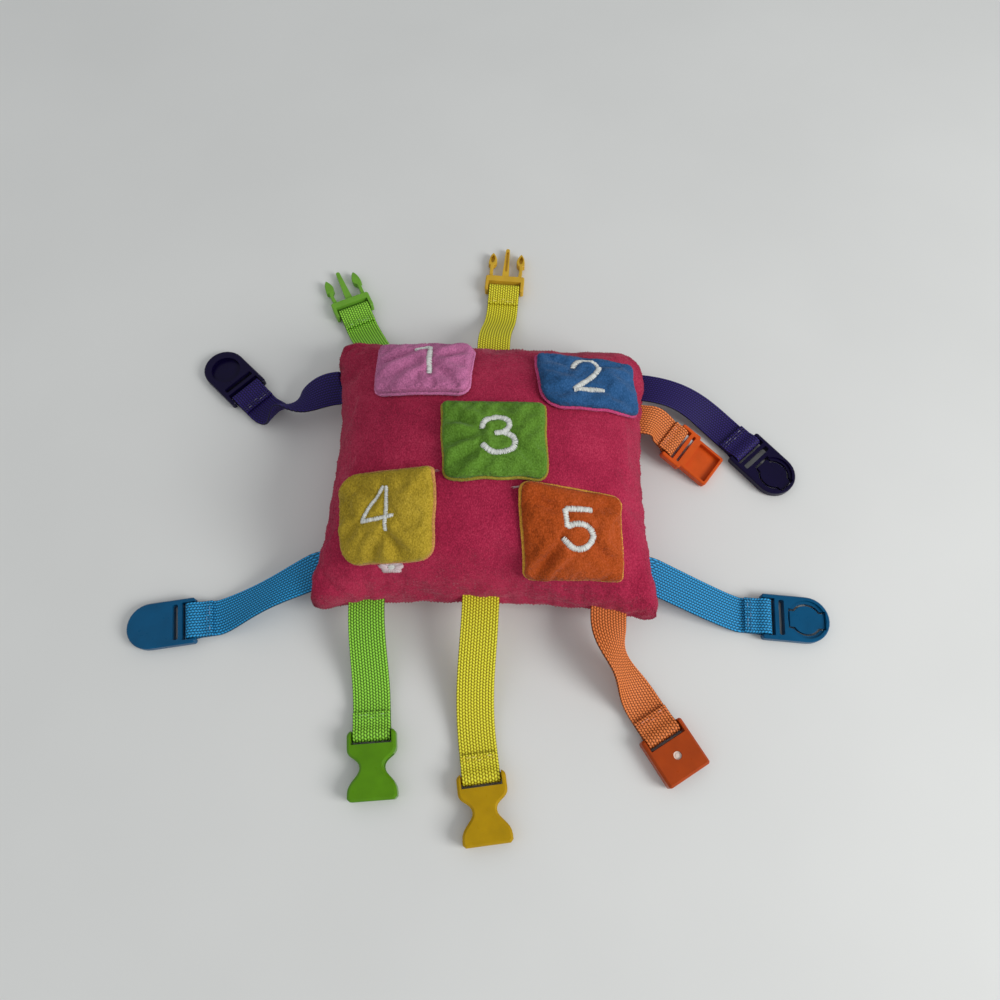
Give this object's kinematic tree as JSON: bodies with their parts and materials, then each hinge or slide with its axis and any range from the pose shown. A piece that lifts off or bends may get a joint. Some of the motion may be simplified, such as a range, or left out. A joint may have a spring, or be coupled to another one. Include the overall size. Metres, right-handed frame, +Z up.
{
  "type": "buckle activity pillow",
  "caption": "Stuffed plush activity pillow with numbered lift-up flaps and coloured webbing straps that end in matching pairs of buckles, for practising fastenings.",
  "frame": {"origin": "centre of the flat underside, on the table", "axes": "+Z up from the table through the crown, +X to the right along the pillow's long side, +Y towards its top edge"},
  "size_m": [0.3898, 0.3726, 0.0771],
  "materials": {
    "pillow_plush": "short-pile plush",
    "stuffing": "loose fibre fill",
    "flap_lining": "short-pile plush",
    "flap_1_plush": "short-pile plush",
    "flap_2_plush": "short-pile plush",
    "flap_3_plush": "short-pile plush",
    "flap_4_plush": "short-pile plush",
    "flap_5_plush": "short-pile plush",
    "green_webbing": "woven webbing",
    "yellow_webbing": "woven webbing",
    "orange_webbing": "woven webbing",
    "blue_webbing": "woven webbing",
    "purple_webbing": "woven webbing",
    "green_plastic": "moulded, satin gloss",
    "yellow_plastic": "moulded, satin gloss",
    "orange_plastic": "moulded, satin gloss",
    "blue_plastic": "moulded, satin gloss",
    "purple_plastic": "moulded, satin gloss"
  },
  "bodies": {
    "pillow": {"pillow_front_panel": "pillow_plush", "pillow_back_panel": "pillow_plush", "stuffing": "stuffing"},
    "flap_1": {"flap_1_face": "flap_1_plush", "flap_1_lining": "flap_lining"},
    "flap_2": {"flap_2_face": "flap_2_plush", "flap_2_lining": "flap_lining"},
    "flap_3": {"flap_3_face": "flap_3_plush", "flap_3_lining": "flap_lining"},
    "flap_4": {"flap_4_face": "flap_4_plush", "flap_4_lining": "flap_lining"},
    "flap_5": {"flap_5_face": "flap_5_plush", "flap_5_lining": "flap_lining"},
    "green_top_strap": {"green_top_strap": "green_webbing"},
    "green_plug": {"green_plug": "green_plastic"},
    "green_plug_left_arm": {"green_plug_left_arm": "green_plastic"},
    "green_plug_right_arm": {"green_plug_right_arm": "green_plastic"},
    "green_bottom_strap": {"green_bottom_strap": "green_webbing"},
    "green_socket": {"green_socket": "green_plastic"},
    "yellow_top_strap": {"yellow_top_strap": "yellow_webbing"},
    "yellow_plug": {"yellow_plug": "yellow_plastic"},
    "yellow_plug_left_arm": {"yellow_plug_left_arm": "yellow_plastic"},
    "yellow_plug_right_arm": {"yellow_plug_right_arm": "yellow_plastic"},
    "yellow_bottom_strap": {"yellow_bottom_strap": "yellow_webbing"},
    "yellow_socket": {"yellow_socket": "yellow_plastic"},
    "orange_right_strap": {"orange_right_strap": "orange_webbing"},
    "orange_tray": {"orange_tray": "orange_plastic"},
    "orange_bottom_strap": {"orange_bottom_strap": "orange_webbing"},
    "orange_box": {"orange_box": "orange_plastic"},
    "purple_left_strap": {"purple_left_strap": "purple_webbing"},
    "purple_cup_plate": {"purple_cup_plate": "purple_plastic"},
    "purple_right_strap": {"purple_right_strap": "purple_webbing"},
    "purple_button_plate": {"purple_button_plate": "purple_plastic"},
    "purple_press_disc": {"purple_press_disc": "purple_plastic"},
    "blue_left_strap": {"blue_left_strap": "blue_webbing"},
    "blue_cup_plate": {"blue_cup_plate": "blue_plastic"},
    "blue_right_strap": {"blue_right_strap": "blue_webbing"},
    "blue_button_plate": {"blue_button_plate": "blue_plastic"},
    "blue_press_disc": {"blue_press_disc": "blue_plastic"}
  },
  "joints": [
    {"name": "flap_1_lift", "type": "hinge", "parent": "pillow", "child": "flap_1", "pos_m": [-0.03741, 0.06539, 0.04714], "axis": [0.98, -0.0653, 0.1878], "range_deg": [-110, 0]},
    {"name": "flap_2_lift", "type": "hinge", "parent": "pillow", "child": "flap_2", "pos_m": [0.05205, 0.05844, 0.04898], "axis": [0.9627, 0.0261, -0.2695], "range_deg": [-110, 0]},
    {"name": "flap_3_lift", "type": "hinge", "parent": "pillow", "child": "flap_3", "pos_m": [0.00153, 0.01732, 0.07045], "axis": [0.9993, 0.0349, -0.015], "range_deg": [-110, 0]},
    {"name": "flap_4_lift", "type": "hinge", "parent": "pillow", "child": "flap_4", "pos_m": [-0.05323, -0.02544, 0.06556], "axis": [0.9263, 0.0305, 0.3756], "range_deg": [-110, 0]},
    {"name": "flap_5_lift", "type": "hinge", "parent": "pillow", "child": "flap_5", "pos_m": [0.0451, -0.03224, 0.06734], "axis": [0.9568, 0.0352, -0.2886], "range_deg": [-110, 0]},
    {"name": "green_top_strap_lift", "type": "hinge", "parent": "pillow", "child": "green_top_strap", "pos_m": [-0.07433, 0.08161, 0.01809], "axis": [0.9852, -0.0463, 0.1653], "range_deg": [0, 65]},
    {"name": "green_plug_swing", "type": "hinge", "parent": "green_top_strap", "child": "green_plug", "pos_m": [-0.09203, 0.11801, 0.00375], "axis": [0.8988, 0.4384, 0], "range_deg": [0, 75]},
    {"name": "green_plug_left_arm_squeeze", "type": "hinge", "parent": "green_plug", "child": "green_plug_left_arm", "pos_m": [-0.10483, 0.1226, 0.00321], "axis": [0.0242, -0.0497, -0.9985], "range_deg": [0, 6], "stiffness_Nm_per_rad": 0.02},
    {"name": "green_plug_right_arm_squeeze", "type": "hinge", "parent": "green_plug", "child": "green_plug_right_arm", "pos_m": [-0.08775, 0.13093, 0.00321], "axis": [-0.0242, 0.0497, 0.9985], "range_deg": [0, 6], "stiffness_Nm_per_rad": 0.02},
    {"name": "green_bottom_strap_lift", "type": "hinge", "parent": "pillow", "child": "green_bottom_strap", "pos_m": [-0.06325, -0.08096, 0.01977], "axis": [-0.9887, -0.0654, -0.135], "range_deg": [0, 65]},
    {"name": "green_socket_swing", "type": "hinge", "parent": "green_bottom_strap", "child": "green_socket", "pos_m": [-0.05625, -0.14796, 0.0045], "axis": [-0.9945, -0.1045, 0], "range_deg": [0, 75]},
    {"name": "yellow_top_strap_lift", "type": "hinge", "parent": "pillow", "child": "yellow_top_strap", "pos_m": [0, 0.0783, 0.024], "axis": [1, 0, 0], "range_deg": [0, 65]},
    {"name": "yellow_plug_swing", "type": "hinge", "parent": "yellow_top_strap", "child": "yellow_plug", "pos_m": [0.005, 0.138, 0.00375], "axis": [0.9986, -0.0523, 0], "range_deg": [0, 75]},
    {"name": "yellow_plug_left_arm_squeeze", "type": "hinge", "parent": "yellow_plug", "child": "yellow_plug_left_arm", "pos_m": [-0.00398, 0.14822, 0.00321], "axis": [-0.0029, -0.0552, -0.9985], "range_deg": [0, 6], "stiffness_Nm_per_rad": 0.02},
    {"name": "yellow_plug_right_arm_squeeze", "type": "hinge", "parent": "yellow_plug", "child": "yellow_plug_right_arm", "pos_m": [0.015, 0.14722, 0.00321], "axis": [0.0029, 0.0552, 0.9985], "range_deg": [0, 6], "stiffness_Nm_per_rad": 0.02},
    {"name": "yellow_bottom_strap_lift", "type": "hinge", "parent": "pillow", "child": "yellow_bottom_strap", "pos_m": [-0.0015, -0.0783, 0.024], "axis": [-1, -0.0022, -0.0032], "range_deg": [0, 65]},
    {"name": "yellow_socket_swing", "type": "hinge", "parent": "yellow_bottom_strap", "child": "yellow_socket", "pos_m": [0.002, -0.1673, 0.0045], "axis": [-0.9877, -0.1564, 0], "range_deg": [0, 75]},
    {"name": "orange_right_strap_lift", "type": "hinge", "parent": "pillow", "child": "orange_right_strap", "pos_m": [0.08999, 0.03492, 0.02229], "axis": [-0.0939, -0.9908, 0.0973], "range_deg": [0, 65]},
    {"name": "orange_tray_swing", "type": "hinge", "parent": "orange_right_strap", "child": "orange_tray", "pos_m": [0.11099, 0.02702, 0.00925], "axis": [-0.5878, -0.809, 0], "range_deg": [0, 75]},
    {"name": "orange_bottom_strap_lift", "type": "hinge", "parent": "pillow", "child": "orange_bottom_strap", "pos_m": [0.06763, -0.08124, 0.01914], "axis": [-0.9874, 0.0608, 0.1461], "range_deg": [0, 45]},
    {"name": "orange_box_swing", "type": "hinge", "parent": "orange_bottom_strap", "child": "orange_box", "pos_m": [0.09663, -0.14274, 0.00435], "axis": [-0.8387, -0.5446, 0], "range_deg": [0, 75]},
    {"name": "purple_left_strap_lift", "type": "hinge", "parent": "pillow", "child": "purple_left_strap", "pos_m": [-0.09174, 0.05079, 0.02037], "axis": [-0.1199, 0.9825, -0.1426], "range_deg": [0, 65]},
    {"name": "purple_cup_plate_swing", "type": "hinge", "parent": "purple_left_strap", "child": "purple_cup_plate", "pos_m": [-0.15254, 0.05549, 0.00375], "axis": [0.682, 0.7314, 0], "range_deg": [0, 75]},
    {"name": "purple_right_strap_lift", "type": "hinge", "parent": "pillow", "child": "purple_right_strap", "pos_m": [0.09259, 0.05762, 0.0193], "axis": [-0.1209, -0.9789, 0.1647], "range_deg": [0, 65]},
    {"name": "purple_button_plate_swing", "type": "hinge", "parent": "purple_right_strap", "child": "purple_button_plate", "pos_m": [0.15469, 0.02632, 0.00375], "axis": [-0.7193, -0.6947, 0], "range_deg": [0, 75]},
    {"name": "purple_press_disc_press", "type": "hinge", "parent": "purple_button_plate", "child": "purple_press_disc", "pos_m": [0.1774, 0.0028, 0.00298], "axis": [-0.7193, -0.6947, 0], "range_deg": [0, 5], "stiffness_Nm_per_rad": 0.02},
    {"name": "blue_left_strap_lift", "type": "hinge", "parent": "pillow", "child": "blue_left_strap", "pos_m": [-0.09328, -0.06334, 0.01828], "axis": [0.1129, 0.9759, 0.1866], "range_deg": [0, 65]},
    {"name": "blue_cup_plate_swing", "type": "hinge", "parent": "blue_left_strap", "child": "blue_cup_plate", "pos_m": [-0.16198, -0.09004, 0.00375], "axis": [-0.1736, 0.9848, 0], "range_deg": [0, 75]},
    {"name": "blue_right_strap_lift", "type": "hinge", "parent": "pillow", "child": "blue_right_strap", "pos_m": [0.09294, -0.0605, 0.0188], "axis": [0.1181, -0.9774, -0.1752], "range_deg": [0, 65]},
    {"name": "blue_button_plate_swing", "type": "hinge", "parent": "blue_right_strap", "child": "blue_button_plate", "pos_m": [0.15754, -0.0772, 0.00375], "axis": [-0.0523, -0.9986, 0], "range_deg": [0, 75]},
    {"name": "blue_press_disc_press", "type": "hinge", "parent": "blue_button_plate", "child": "blue_press_disc", "pos_m": [0.19019, -0.07891, 0.00298], "axis": [-0.0523, -0.9986, 0], "range_deg": [0, 5], "stiffness_Nm_per_rad": 0.02}
  ]
}
